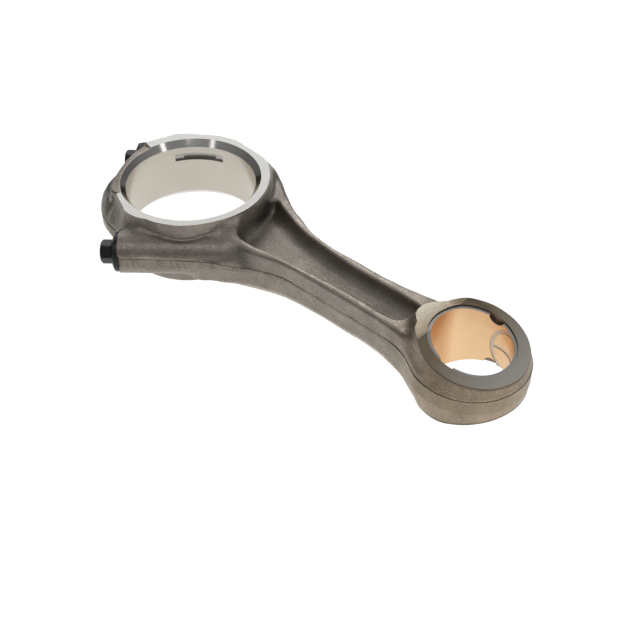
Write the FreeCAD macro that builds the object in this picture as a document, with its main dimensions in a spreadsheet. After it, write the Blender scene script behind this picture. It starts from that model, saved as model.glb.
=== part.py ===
"""Connecting rod of a heavy-duty diesel engine: forged rod, fracture-split bearing cap, two flange
bolts and a two-layer small-end bush. Millimetres. The origin is the centre of the big-end bore at
mid-thickness, +X runs to the small end, +Z along the crankpin axis."""
import FreeCAD, Part
import math
import os
import Sketcher
from FreeCAD import Placement, Rotation, Vector

doc = FreeCAD.newDocument("connecting_rod")

# ---------------------------------------------------------------- driving dimensions
sheet = doc.addObject("Spreadsheet::Sheet", "sizes")
SIZES = {
    # the two bores
    "centre_distance": 216.0,
    "half_width": 21.1,
    "crank_bore_rad": 40.5,
    "crank_chamfer_rad": 44.0,
    "crank_chamfer_depth": 4.1,
    "ring_outer_rad": 49.0,
    "eye_bore_rad": 24.5,
    "eye_outer_rad": 34.3,
    "eye_face_rad": 30.8,
    "eye_taper_start": 196.5,
    "eye_taper_slope": 0.203,
    # forged shank
    "flash_half": 4.4,
    "shank_half_thick": 12.6,
    "shank_half_width": 14.8,
    "web_half_thick": 3.6,
    "pocket_half_width": 10.2,
    "pocket_begin": 60.0,
    "pocket_end": 176.0,
    # oblique split and bolts
    "split_turn": 40.0,
    "bolt_offset": 48.3,
    "boss_half_width": 11.6,
    "seat_depth": 38.5,
    "bolt_rad": 5.5,
    "bolt_long": 60.0,
    "bolt_pilot_rad": 4.2,
    "bolt_pilot_long": 3.0,
    "flange_rad": 12.0,
    "flange_top_rad": 8.6,
    "flange_rim": 2.3,
    "flange_high": 4.2,
    "hex_across": 12.8,
    "hex_turn": 24.0,
    "head_high": 11.4,
    "cap_hole_rad": 5.8,
    "thread_hole_rad": 5.56,
    "thread_hole_deep": 24.0,
    # bearing cap
    "crown_depth": 57.2,
    "crown_half_thick": 10.0,
    "seat_inner_edge": 35.8,
    # tang slot
    "slot_low": 7.3,
    "slot_high": 12.6,
    "slot_out_rad": 43.2,
    "slot_half_angle": 14.4,
    "slot_overlap_angle": 3.0,
    # bush
    "bush_bore_rad": 22.5,
    "lining_rad": 23.2,
    "bush_recess": 0.7,
    "bush_notch_rad": 5.0,
}
for row, (alias, number) in enumerate(SIZES.items(), start=1):
    sheet.set(f"A{row}", alias)
    sheet.set(f"B{row}", str(number))
    sheet.setAlias(f"B{row}", alias)
doc.recompute()


def size(alias):
    """A driving dimension, read back from the spreadsheet."""
    return float(sheet.get(alias))


# ---------------------------------------------------------------- helpers
def new_body(label):
    body = doc.addObject("PartDesign::Body", label)
    body.Label = label
    return body


def new_sketch(body, name, plane, lift=0.0, turn=0.0):
    """A sketch on one of the body's origin planes, lifted along its normal and turned about row Z."""
    sketch = body.newObject("Sketcher::SketchObject", name)
    support = next(f for f in body.Origin.OriginFeatures if f.Role == plane)
    sketch.AttachmentSupport = [(support, "")]
    sketch.MapMode = "FlatFace"
    spin_axis = Vector(0, 0, 1) if plane == "XY_Plane" else Vector(0, 1, 0)
    spin = Placement(Vector(), Rotation(spin_axis, turn))
    sketch.AttachmentOffset = spin.multiply(Placement(Vector(0, 0, lift), Rotation()))
    return sketch


def add_circle(sketch, centre_x, centre_y, alias, centre_alias=None):
    """A circle whose radius, and centre distance where one is named, follow the spreadsheet."""
    centre = Vector(centre_x, centre_y, 0)
    ring = sketch.addGeometry(Part.Circle(centre, Vector(0, 0, 1), size(alias)), False)
    radius = sketch.addConstraint(Sketcher.Constraint("Radius", ring, size(alias)))
    sketch.setExpression(f"Constraints[{radius}]", f"sizes.{alias}")
    across = sketch.addConstraint(Sketcher.Constraint("DistanceX", -1, 1, ring, 3, centre_x))
    if centre_alias:
        sketch.setExpression(f"Constraints[{across}]", centre_alias)
    sketch.addConstraint(Sketcher.Constraint("DistanceY", -1, 1, ring, 3, centre_y))
    return ring


def add_outline(sketch, pieces):
    """A closed outline from points, where a piece of three points is an arc and one of four or more a
    smooth curve, each starting where the one before ends."""
    for points in pieces:
        vectors = [Vector(x, y, 0) for x, y in points]
        if len(vectors) == 2:
            sketch.addGeometry(Part.LineSegment(*vectors), False)
        elif len(vectors) == 3:
            sketch.addGeometry(Part.Arc(*vectors), False)
        else:
            curve = Part.BSplineCurve()
            curve.interpolate(vectors)
            sketch.addGeometry(curve, False)


def polygon(points):
    return [[points[i], points[(i + 1) % len(points)]] for i in range(len(points))]


def feature(body, kind, name, sketch, **settings):
    made = body.newObject(f"PartDesign::{kind}", name)
    made.Profile = sketch
    for key, setting in settings.items():
        setattr(made, key, setting)
    sketch.Visibility = False
    return made


def pad(body, name, sketch, expression):
    """A pad of the given full thickness, half each side of the sketch."""
    made = feature(body, "Pad", name, sketch, Midplane=True, Length=1.0)
    made.setExpression("Length", expression)
    doc.recompute()
    return made


def check_cut(body, name, volume_before):
    if not body.Shape.Volume < volume_before - 1.0:
        raise RuntimeError(f"{name} cuts nothing")


def pocket(body, name, sketch, expression=None, both=False, flip=False):
    """A pocket of the given depth, or through everything; both cuts each side of the sketch."""
    before = body.Shape.Volume
    made = feature(body, "Pocket", name, sketch, Midplane=both, Reversed=flip)
    if expression:
        made.setExpression("Length", expression)
    else:
        made.Type = "ThroughAll"
    doc.recompute()
    check_cut(body, name, before)
    return made


def groove(body, name, sketch):
    """A full turn about the sketch's construction line."""
    before = body.Shape.Volume
    made = feature(body, "Groove", name, sketch, Angle=360.0)
    made.ReferenceAxis = (sketch, ["Axis0"])
    doc.recompute()
    check_cut(body, name, before)
    return made


def bore_sketch(body, name, centre_x, bore, mouth, depth, half):
    """Half section of a bore with a chamfer at each mouth, about a line along Z."""
    sketch = new_sketch(body, name, "XZ_Plane")
    beyond = half + 5.0
    slope = (mouth - bore) / depth
    flare = mouth + slope * (beyond - half)
    add_outline(
        sketch,
        polygon(
            [
                (centre_x, -beyond),
                (centre_x + flare, -beyond),
                (centre_x + bore, -half + depth),
                (centre_x + bore, half - depth),
                (centre_x + flare, beyond),
                (centre_x, beyond),
            ]
        ),
    )
    axis = Part.LineSegment(Vector(centre_x, -beyond, 0), Vector(centre_x, beyond, 0))
    sketch.addGeometry(axis, True)
    return sketch


def along(run, across):
    """Row X, Y of a point run along the bolts, from the cap to the rod, and across towards the far bolt."""
    angle = math.radians(size("split_turn"))
    return (
        run * math.cos(angle) - across * math.sin(angle),
        run * math.sin(angle) + across * math.cos(angle),
    )


# ---------------------------------------------------------------- forged rod
def taper_pocket(body, recess, name):
    """Takes the wedge off both faces of the small end, from the taper's start to beyond the tip, with the
    flat that it starts from sunk below the rod's face by the recess."""
    start = size("eye_taper_start")
    level = size("half_width") - recess
    clear = 2 * size("half_width")
    reach = size("centre_distance") + 2 * size("eye_outer_rad")
    drop = size("eye_taper_slope") * (reach - start)
    corners = [(start, level), (start, clear), (reach, clear), (reach, level - drop)]
    for side, sign in (("top", 1), ("bottom", -1)):
        sketch = new_sketch(body, f"{name}_{side}_sketch", "XZ_Plane")
        add_outline(sketch, polygon([(x, sign * z) for x, z in corners]))
        doc.recompute()
        pocket(body, f"{name}_{side}", sketch, both=True)


def split_pocket(body, sign, turn=0.0):
    """Takes off everything on one side of the split plane."""
    sketch = new_sketch(body, "split_sketch", "XY_Plane", turn=turn)
    reach = 2 * size("bolt_offset")
    add_outline(sketch, polygon([(0.0, -reach), (sign * reach, -reach), (sign * reach, reach), (0.0, reach)]))
    pocket(body, "split", sketch, both=True)


def rod_outline():
    """Plan of the forging at its parting plane, anticlockwise from the near end of the split."""
    width = size("shank_half_width")
    centre = size("centre_distance")
    eye = size("eye_outer_rad")
    outer = size("bolt_offset") + size("boss_half_width")
    near_split = along(0.0, -outer)
    near_boss = along(12.0, -outer)
    far_split = along(0.0, outer)
    far_boss = along(21.0, outer)
    neck = math.radians(123.0)
    mouth = eye - 1.5
    near_neck = (centre + mouth * math.cos(neck), -mouth * math.sin(neck))
    far_neck = (near_neck[0], -near_neck[1])
    return [
        [near_split, near_boss],
        [near_boss, (53.6, -34.5), (63.0, -29.3), (72.0, -23.5), (84.0, -17.8), (102.0, -width)],
        [(102.0, -width), (158.0, -width)],
        [(158.0, -width), (168.0, -15.4), (180.0, -18.8), (190.0, -23.4), near_neck],
        [near_neck, (centre + mouth, 0.0), far_neck],
        [far_neck, (190.0, 23.4), (180.0, 18.8), (168.0, 15.4), (158.0, width)],
        [(158.0, width), (102.0, width)],
        [(102.0, width), (84.0, 17.4), (72.0, 22.8), (60.0, 29.0), (50.0, 35.1), (37.0, 44.5)],
        [(37.0, 44.5), (24.0, 54.3), (9.0, 60.1), (-8.0, 62.2), far_boss],
        [far_boss, far_split],
        [far_split, near_split],
    ]


def pocket_outline():
    """The recess between the rails of the I-section: rounded at the big end, a U-turn at the eye."""
    half = size("pocket_half_width")
    begin = size("pocket_begin")
    end = size("pocket_end")
    mouth = 14.0
    return [
        [(begin, -mouth), (begin + 5.0, 0.0), (begin, mouth)],
        [(begin, mouth), (78.0, 13.2), (92.0, 10.9), (104.0, half)],
        [(104.0, half), (end - half, half)],
        [(end - half, half), (end, 0.0), (end - half, -half)],
        [(end - half, -half), (104.0, -half)],
        [(104.0, -half), (92.0, -10.9), (78.0, -13.2), (begin, -mouth)],
    ]


def tang_pocket(body, low_angle, high_angle):
    """Slot in the wall of the crank bore that locates the bearing shells, between two angles."""
    sketch = new_sketch(body, "tang_slot_sketch", "XY_Plane", lift=size("slot_low"))
    inside = size("crank_bore_rad") - 2.0
    outside = size("slot_out_rad")

    def place(radius, degrees):
        return (
            radius * math.cos(math.radians(degrees)),
            radius * math.sin(math.radians(degrees)),
        )

    middle = (low_angle + high_angle) / 2
    add_outline(
        sketch,
        [
            [place(outside, low_angle), place(outside, middle), place(outside, high_angle)],
            [place(outside, high_angle), place(inside, high_angle)],
            [place(inside, high_angle), place(inside, middle), place(inside, low_angle)],
            [place(inside, low_angle), place(outside, low_angle)],
        ],
    )
    pocket(body, "tang_slot", sketch, "sizes.slot_high - sizes.slot_low", flip=True)


def bolt_holes(body, turn, alias, depth_expression, flip):
    """One hole per bolt, drilled from the split face."""
    sketch = new_sketch(body, f"{alias}_sketch", "YZ_Plane", turn=turn)
    for sign in (-1, 1):
        centre_alias = "sizes.bolt_offset" if sign > 0 else None
        add_circle(sketch, sign * size("bolt_offset"), 0.0, alias, centre_alias)
    pocket(body, f"{alias}_pocket", sketch, depth_expression, flip=flip)


def make_rod():
    body = new_body("rod_forging")

    sketch = new_sketch(body, "ring_sketch", "XY_Plane")
    add_circle(sketch, 0.0, 0.0, "ring_outer_rad")
    pad(body, "crank_ring", sketch, "2 * sizes.half_width")

    sketch = new_sketch(body, "plan_sketch", "XY_Plane")
    add_outline(sketch, rod_outline())
    pad(body, "shank_blank", sketch, "2 * sizes.shank_half_thick")

    # the eye, drafted both ways from the land that trimming the forging's flash leaves
    sketch = new_sketch(body, "eye_sketch", "XZ_Plane")
    centre = size("centre_distance")
    half = size("half_width")
    land = size("flash_half")
    face = centre + size("eye_face_rad")
    rim = centre + size("eye_outer_rad")
    eye_section = [(centre, -half), (face, -half), (rim, -land), (rim, land), (face, half), (centre, half)]
    add_outline(sketch, polygon(eye_section))
    sketch.addGeometry(Part.LineSegment(Vector(centre, -half, 0), Vector(centre, half, 0)), True)
    turned = feature(body, "Revolution", "eye_blank", sketch, Angle=360.0)
    turned.ReferenceAxis = (sketch, ["Axis0"])
    doc.recompute()

    for side, sign in (("top", 1), ("bottom", -1)):
        lift = sign * size("web_half_thick")
        sketch = new_sketch(body, f"beam_{side}_sketch", "XY_Plane", lift=lift)
        add_outline(sketch, pocket_outline())
        pocket(body, f"beam_{side}", sketch, "2 * sizes.shank_half_thick", flip=sign > 0)

    taper_pocket(body, 0.0, "eye_taper")

    sketch = bore_sketch(
        body,
        "crank_bore_sketch",
        0.0,
        size("crank_bore_rad"),
        size("crank_chamfer_rad"),
        size("crank_chamfer_depth"),
        size("half_width"),
    )
    groove(body, "crank_bore", sketch)

    sketch = new_sketch(body, "eye_bore_sketch", "XY_Plane")
    add_circle(sketch, size("centre_distance"), 0.0, "eye_bore_rad", "sizes.centre_distance")
    pocket(body, "eye_bore", sketch, both=True)

    split_pocket(body, -1, size("split_turn"))
    split_angle = size("split_turn") + 90.0
    tang_pocket(body, split_angle - size("slot_half_angle"), split_angle + size("slot_overlap_angle"))
    bolt_holes(body, size("split_turn"), "thread_hole_rad", "sizes.thread_hole_deep", flip=True)
    return body


# ---------------------------------------------------------------- bearing cap
def cap_outline():
    """Plan of the cap in its own frame, where X runs along the bolts towards the rod."""
    seat = -size("seat_depth")
    outer = size("bolt_offset") + size("boss_half_width")
    edge = size("seat_inner_edge")
    crown = -size("crown_depth")
    return [
        [(0.0, -outer), (0.0, outer)],
        [(0.0, outer), (seat, outer)],
        [(seat, outer), (seat, edge)],
        [(seat, edge), (-43.0, 32.0), (-49.5, 26.0), (-54.4, 17.5), (crown, 0.0)],
        [(crown, 0.0), (-54.4, -17.5), (-49.5, -26.0), (-43.0, -32.0), (seat, -edge)],
        [(seat, -edge), (seat, -outer)],
        [(seat, -outer), (0.0, -outer)],
    ]


def make_cap():
    body = new_body("bearing_cap")

    sketch = new_sketch(body, "ring_sketch", "XY_Plane")
    add_circle(sketch, 0.0, 0.0, "ring_outer_rad")
    pad(body, "crank_ring", sketch, "2 * sizes.half_width")

    sketch = new_sketch(body, "plan_sketch", "XY_Plane")
    add_outline(sketch, cap_outline())
    pad(body, "crown_blank", sketch, "2 * sizes.crown_half_thick")

    sketch = bore_sketch(
        body,
        "crank_bore_sketch",
        0.0,
        size("crank_bore_rad"),
        size("crank_chamfer_rad"),
        size("crank_chamfer_depth"),
        size("half_width"),
    )
    groove(body, "crank_bore", sketch)

    split_pocket(body, 1)
    tang_pocket(body, 90.0 - size("slot_overlap_angle"), 90.0 + size("slot_half_angle"))
    bolt_holes(body, 0.0, "cap_hole_rad", "sizes.seat_depth + 25", flip=False)
    body.Placement = Placement(Vector(), Rotation(Vector(0, 0, 1), size("split_turn")))
    body.setExpression("Placement.Rotation.Angle", "sizes.split_turn * 1 deg")
    return body


# ---------------------------------------------------------------- bolts
def make_bolt(label, across):
    """Flange bolt whose own Z runs from the head's seat to the tip."""
    body = new_body(label)
    head = size("head_high")
    flange = size("flange_high")
    rim = size("flange_rim")
    tip = size("bolt_long")
    shank = size("bolt_rad")
    pilot = size("bolt_pilot_rad")
    sketch = new_sketch(body, "profile_sketch", "XZ_Plane")
    add_outline(
        sketch,
        polygon(
            [
                (0.0, -flange),
                (size("flange_top_rad"), -flange),
                (size("flange_rad"), -rim),
                (size("flange_rad"), 0.0),
                (shank, 0.0),
                (shank, tip - size("bolt_pilot_long")),
                (pilot, tip - size("bolt_pilot_long") + 1.3),
                (pilot, tip),
                (0.0, tip),
            ]
        ),
    )
    sketch.addGeometry(Part.LineSegment(Vector(0, -head, 0), Vector(0, tip, 0)), True)
    turned = feature(body, "Revolution", "shank_and_flange", sketch, Angle=360.0)
    turned.ReferenceAxis = (sketch, ["Axis0"])
    doc.recompute()

    overlap = 0.2
    sketch = new_sketch(body, "hexagon_sketch", "XY_Plane", lift=-flange + overlap)
    corner = size("hex_across") / math.sqrt(3)
    turns = [math.radians(60 * k + size("hex_turn")) for k in range(6)]
    add_outline(sketch, polygon([(corner * math.cos(a), corner * math.sin(a)) for a in turns]))
    made = feature(body, "Pad", "hexagon", sketch, Reversed=True)
    made.setExpression("Length", f"sizes.head_high - sizes.flange_high + {overlap}")
    doc.recompute()

    run_x, run_y = along(-size("seat_depth"), across)
    lay_down = Rotation(Vector(0, 1, 0), 90)
    swing = Rotation(Vector(0, 0, 1), size("split_turn"))
    body.Placement = Placement(Vector(run_x, run_y, 0), swing.multiply(lay_down))
    return body


# ---------------------------------------------------------------- small-end bush
def make_bush_layer(label, outer_alias, inner_alias):
    """One layer of the wrapped bush, cut to the eye's taper and notched across the rod at both ends."""
    body = new_body(label)
    centre = size("centre_distance")
    sketch = new_sketch(body, "ring_sketch", "XY_Plane")
    add_circle(sketch, centre, 0.0, outer_alias, "sizes.centre_distance")
    add_circle(sketch, centre, 0.0, inner_alias, "sizes.centre_distance")
    pad(body, "tube", sketch, "2 * sizes.half_width - 2 * sizes.bush_recess")
    taper_pocket(body, size("bush_recess"), "end_taper")

    sketch = new_sketch(body, "notch_sketch", "XZ_Plane")
    slope = size("eye_taper_slope")
    level = size("half_width") - slope * (centre - size("eye_taper_start"))
    for sign in (-1, 1):
        add_circle(sketch, centre, sign * level, "bush_notch_rad", "sizes.centre_distance")
    pocket(body, "notches", sketch, both=True)
    return body


parts = [
    make_rod(),
    make_cap(),
    make_bolt("cap_bolt_near", -size("bolt_offset")),
    make_bolt("cap_bolt_far", size("bolt_offset")),
    make_bush_layer("bush_backing", "eye_bore_rad", "lining_rad"),
    make_bush_layer("bush_lining", "lining_rad", "bush_bore_rad"),
]
doc.recompute()

# ---------------------------------------------------------------- checks and files
for thing in doc.Objects:
    if any(word in ("Invalid", "Error") for word in thing.State):
        raise RuntimeError(f"{thing.Name} failed: {thing.State}")
os.makedirs("parts", exist_ok=True)
for body in parts:
    shape = body.Shape
    if shape.isNull() or not shape.isValid() or len(shape.Solids) != 1:
        raise RuntimeError(f"{body.Label} is not one valid solid: {len(shape.Solids)}")
for body in parts:
    body.Shape.exportStep(f"parts/{body.Label}.step")
    box = body.Shape.BoundBox
    print(f"{body.Label}: {body.Shape.Volume / 1000:.1f} cm3, "
          f"x {box.XMin:.1f}..{box.XMax:.1f}, y {box.YMin:.1f}..{box.YMax:.1f}, "
          f"z {box.ZMin:.1f}..{box.ZMax:.1f}")
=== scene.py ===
"""Looks of the connecting rod: forged rod and cap as worked surfaces, machined bores and faces, flange bolts
and the two-layer bush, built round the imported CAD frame. Shapes are worked out in millimetres."""
import math

import bpy
import numpy as np
from mathutils import Matrix, Vector


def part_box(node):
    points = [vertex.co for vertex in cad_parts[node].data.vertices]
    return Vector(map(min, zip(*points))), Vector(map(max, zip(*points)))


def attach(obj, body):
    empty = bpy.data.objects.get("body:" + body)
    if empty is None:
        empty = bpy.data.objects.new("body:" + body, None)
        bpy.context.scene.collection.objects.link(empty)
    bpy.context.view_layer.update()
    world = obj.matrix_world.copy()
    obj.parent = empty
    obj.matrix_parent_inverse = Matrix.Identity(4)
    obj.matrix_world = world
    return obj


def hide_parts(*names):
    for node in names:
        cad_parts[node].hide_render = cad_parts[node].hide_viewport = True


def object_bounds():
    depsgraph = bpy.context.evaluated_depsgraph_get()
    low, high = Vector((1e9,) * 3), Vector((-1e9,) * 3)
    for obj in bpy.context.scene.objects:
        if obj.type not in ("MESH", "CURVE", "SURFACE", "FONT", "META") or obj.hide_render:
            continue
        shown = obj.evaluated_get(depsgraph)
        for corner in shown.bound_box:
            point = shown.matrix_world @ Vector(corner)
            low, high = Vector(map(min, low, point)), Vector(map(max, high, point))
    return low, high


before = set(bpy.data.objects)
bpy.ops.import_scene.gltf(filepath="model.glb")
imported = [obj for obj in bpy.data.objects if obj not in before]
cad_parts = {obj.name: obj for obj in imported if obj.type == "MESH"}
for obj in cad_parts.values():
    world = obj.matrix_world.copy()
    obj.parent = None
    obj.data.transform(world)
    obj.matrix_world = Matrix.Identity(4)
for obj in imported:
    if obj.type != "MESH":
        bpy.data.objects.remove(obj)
cad_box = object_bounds()

MM = 0.001

# ---------------------------------------------------------------- sizes, from the frame where it has them
def node_box(node):
    """Low and high corner of a node's box, in millimetres."""
    low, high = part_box(node)
    return np.array(low) / MM, np.array(high) / MM


lining_low, lining_high = node_box("bush_lining")
EYE_X = (lining_low[0] + lining_high[0]) / 2
HALF_WIDTH = node_box("rod_forging")[1][2]

# machined: radii of the bores, the bush, the eye's taper, the split, the bolt holes and the tang's slot
CRANK_BORE = 40.5
CRANK_CHAMFER = 44.0
CRANK_CHAMFER_DEPTH = 4.1
EYE_BORE = 24.5
LINING_OUTER = 23.2
LINING_BORE = 22.5
BUSH_SHORT = 0.9
NOTCH_RAD = 4.8
GROOVE_DEPTH = 0.28
TAPER_START = 196.5
TAPER_SLOPE = 0.203
SPLIT_TURN = 40.0
BOLT_OFFSET = 48.3
SEAT_DEPTH = 38.5
SPOTFACE_RAD = 13.0
CLEARANCE_RAD = 5.8
THREADED_RAD = 5.56
SLOT_LOW = 7.3
SLOT_HIGH = 12.6

# bolts
HEAD_HIGH = 11.4
HEX_HALF_FLAT = 6.4
HEX_TURN = 24.0
FLANGE_RAD = 12.0
BOLT_RAD = 5.5
THREAD_PITCH = 1.5
THREAD_FROM = 31.0
THREAD_LENGTH = 27.0

# forged: half heights above the parting plane, radii and drafts
SHANK_TOP = 12.6
SHANK_BOTTOM = 14.1
WEB_HALF = 3.6
CROWN_TOP = 20.5
CROWN_CREST = 11.0
BOSS_HALF_BREADTH = 11.4
BOSS_TOP = 12.7
BOSS_BOTTOM = 13.4
BOSS_ENDS = {-1: 33, 1: 31}
BOSS_START = -42.0
EYE_FORGED = (215.8, -0.6)
EYE_FORGED_RAD = 33.8
EYE_DRAFT = 0.225
RECESS_DRAFT = 0.30
CROWN_DRAFT = 0.34
RING_DRAFT = 0.14
LAND_AT_CAP = 2.8
LAND_AT_ENDS = 4.4
LAND_AT_SHANK = 0.9
LAND_PROUD = 0.25
FACE_STOCK = 1.5

# fillets and rounded edges of the forging
SHANK_EDGE_TOP = 3.2
SHANK_EDGE_BOTTOM = 1.2
RECESS_FILLET = 6.0
RECESS_EDGE = 1.6
BOSS_RUN_OUT = 9.0
BOSS_EDGE = 2.0
BOSS_FILLET = 4.0
CROWN_EDGE = 8.0
CROWN_FILLET = 3.0
RING_ROUND = 1.2
EYE_FILLET_TOP = 7.0
EYE_FILLET_BOTTOM = 4.0

# hollows at the ring's foot: radius from the crank's centre, height and their own radius
CREASE = (52.0, 12.9, 1.7)
CROWN_VALLEY = (50.2, 14.0, 2.6)

# azimuths about the crank's centre: where the split crosses the ring and where the cap's top stays forged
SPLIT_AZIMUTHS = (131, 309)
FORGED_FROM, FORGED_TO = (168, 174), (240, 246)

ALONG = np.array([math.cos(math.radians(SPLIT_TURN)), math.sin(math.radians(SPLIT_TURN))])
ACROSS = np.array([-ALONG[1], ALONG[0]])


def row_xy(run, across):
    """Row X, Y of a point run along the bolts, from the cap to the rod, and across towards the far bolt."""
    return tuple(run * ALONG + across * ACROSS)


# ---------------------------------------------------------------- distance fields
def smooth_min(a, b, blend):
    """Minimum of two fields with a rounded joint; a fillet between two bodies."""
    overlap = np.maximum(blend - np.abs(a - b), 0) / blend
    return np.minimum(a, b) - overlap * overlap * blend / 4


def smooth_max(a, b, blend):
    """Maximum of two fields with a rounded joint; a rounded edge or a filleted cut."""
    return -smooth_min(-a, -b, blend)


def rise(value, low, high):
    """0 below low, 1 above high, and a smooth rise between them."""
    t = np.clip((value - low) / (high - low), 0, 1)
    return t * t * (3 - 2 * t)


def curve_through(points, steps=8):
    """A closed smooth curve through the points, with tangents weighted by the distance to each neighbour."""
    p = np.array(points, float)
    before, after = np.roll(p, 1, 0), np.roll(p, -1, 0)
    gap_in = np.linalg.norm(p - before, axis=1)[:, None]
    gap_out = np.linalg.norm(after - p, axis=1)[:, None]
    slope = ((p - before) / gap_in * gap_out + (after - p) / gap_out * gap_in) / (gap_in + gap_out)
    t = (np.arange(steps) / steps)[None, :, None]
    start, end = p[:, None], after[:, None]
    go, arrive = (slope * gap_out)[:, None], (np.roll(slope, -1, 0) * gap_out)[:, None]
    curve = (
        (2 * t**3 - 3 * t**2 + 1) * start
        + (t**3 - 2 * t**2 + t) * go
        + (3 * t**2 - 2 * t**3) * end
        + (t**3 - t**2) * arrive
    )
    return curve.reshape(-1, 2)


def plan_distance(outline, x, y):
    """Signed distance in plan to a closed outline, negative inside."""
    nearest = np.full(x.shape, 1e9)
    inside = np.zeros(x.shape, bool)
    for (ax, ay), (bx, by) in zip(outline, np.roll(outline, -1, 0)):
        dx, dy = bx - ax, by - ay
        t = np.clip(((x - ax) * dx + (y - ay) * dy) / (dx * dx + dy * dy), 0, 1)
        nearest = np.minimum(nearest, (x - ax - t * dx) ** 2 + (y - ay - t * dy) ** 2)
        if ay != by:
            crossing = (ay > y) != (by > y)
            inside ^= crossing & (x < dx * (y - ay) / dy + ax)
    return np.where(inside, -1, 1) * np.sqrt(nearest)


def round_the_ring(degrees, stops):
    """A value that varies round a circle, from (azimuth in degrees, value) stops."""
    angles, values = zip(*stops)
    return np.interp(degrees, angles, values, period=360)


# ---------------------------------------------------------------- outlines of the forging, in plan
def arc(centre, radius, start, end, count):
    """Points of an arc about (centre, 0), between two azimuths in degrees."""
    angles = np.radians(np.linspace(start, end, count))
    return [(centre + radius * math.cos(a), radius * math.sin(a)) for a in angles]


def land_outline():
    """Edge of the trimmed flash land, anticlockwise from the crown of the cap."""
    crown = [(-57.8, 1), (-56.3, -10), (-52.9, -20), (-48.4, -27), (-43.8, -31.5), (-42.3, -36)]
    boss = [(-42, -45), (-42.5, -57), (-38, -58.8), (-20, -59.1), (0, -59.6), (19, -60.7)]
    flank = [(63, -29.3), (72.4, -23.3), (81.9, -18.9), (91.4, -16.3), (101.4, -15.6), (115, -15.5)]
    flank.append((135, -15.6))
    neck = [(151, -15.8), (166, -16.4), (176.6, -18.4), (187.1, -22.5), (195, -27.2)]
    eye = [(x, y + EYE_FORGED[1]) for x, y in arc(EYE_FORGED[0], EYE_FORGED_RAD, -113, 113, 20)]
    far_neck = [(195, 27.2), (187.1, 23.2), (176.6, 19.4), (166, 17), (151, 15.8)]
    far_side = far_neck + [(x, -y) for x, y in reversed(flank[1:])]
    shoulder = [(60, 28.4), (50, 35.3), (37, 44.7), (24, 54.2), (9, 60.0), (-5, 61.9), (-17, 61.3)]
    far_boss = [(8, 59.6), (-20, 59.1), (-38, 58.8), (-42.5, 57), (-42, 45), (-42.3, 36), (-44, 31.5)]
    far_crown = [(-49.6, 27), (-54.6, 20), (-57.6, 11)]
    points = [row_xy(*p) for p in crown + boss] + flank + neck + eye + far_side + shoulder
    points += [row_xy(*p) for p in far_boss + far_crown]
    return curve_through(points, 6)


def top_outline(underside):
    """Outer edge of the shank's rails and shoulders at their crest height; the underside's are fuller."""
    if underside:
        near = [(192, -24), (185.4, -21.1), (178.9, -19.2), (168, -16.3), (158, -14.9), (148.7, -14.4)]
        near += [(130, -14.2), (111.7, -14.3), (102.5, -14.7), (94, -15.9), (86, -18), (78, -20.4)]
        near += [(70.7, -23.1), (63.2, -25.9), (57, -29.8), (50, -33.5), (45, -37.7), (38, -38)]
    else:
        near = [(200, -21.5), (193, -20.4), (186, -19.2), (175.5, -17.4), (166, -16.5), (150, -15.8)]
        near += [(125, -15.6), (108, -15.5), (98, -15.6), (88, -16.5), (78, -18.4), (70, -19.8), (60, -20.4)]
        near += [(50, -22), (38, -28)]
    far = [(197, 26), (190, 22.4), (183, 19.6), (175, 18), (165, 16.6), (150, 15.1), (125, 15.1), (108, 15.4)]
    far += [(96, 16.9), (85, 20), (70, 25.8), (58, 31.5), (48, 36.6), (37, 44.5), (24, 50.8), (8, 55.3)]
    far.append((-8, 55.8))
    boss = [row_xy(run, 47) for run in (10, -20, -42)]
    back = [(-44, 28), (-50, 12), (-50, -12), (-44, -28), (-42, -47), (-10, -47), (12, -47)]
    crown = [row_xy(*p) for p in back]
    tip = [(216, -30), (225, 0), (216, 30)]
    return curve_through(list(reversed(near)) + tip + far + boss + crown, 6)


def crown_outline():
    """Plan of the cap's rounded back, closed inside the ring."""
    far = [(-20, 43), (-30, 41), (-38, 36.5), (-43.6, 31.5), (-49.6, 27), (-54.6, 20), (-57.6, 11)]
    near = [(-57.8, 1), (-56.3, -10), (-52.9, -20), (-48.4, -27), (-43.4, -31.5), (-38, -36.5), (-30, -41)]
    near.append((-20, -43))
    return curve_through([row_xy(*p) for p in far + near], 6)


def pocket_outline():
    """Inner edge of the rails at their crest: the recess of the I-section, from under the ring to the eye."""
    near = [(46, -8), (50, -12.5), (60, -15.1), (69, -15.4), (83, -13.8), (100, -12.5), (118, -11.3)]
    near += [(140, -10.5), (158, -10.6), (168, -10.9), (174.5, -9.4), (180, -5.5), (184, 0)]
    far = [(182, 5), (175, 8.2), (168, 8.8), (158, 9.3), (140, 9.3), (118, 10.3), (107, 11.5), (96, 12.9)]
    far += [(86, 14.5), (74, 17.3), (65, 20.8), (56, 24.2), (48, 27)]
    return curve_through(near + far + [(42, 20), (40, 5)], 6)


def land_height(x):
    """Half height of the flash land along the rod."""
    at_cap = 1 - rise(x, 30, 80)
    at_eye = rise(x, 160, 196)
    return LAND_AT_SHANK + (LAND_AT_CAP - LAND_AT_SHANK) * at_cap + (LAND_AT_ENDS - LAND_AT_SHANK) * at_eye


def land_proud(x):
    """How far the flash land stands proud of the skin beside it; least along the shank."""
    return LAND_PROUD * (1 - 0.6 * rise(x, 90, 125) * (1 - rise(x, 160, 180)))


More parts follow.
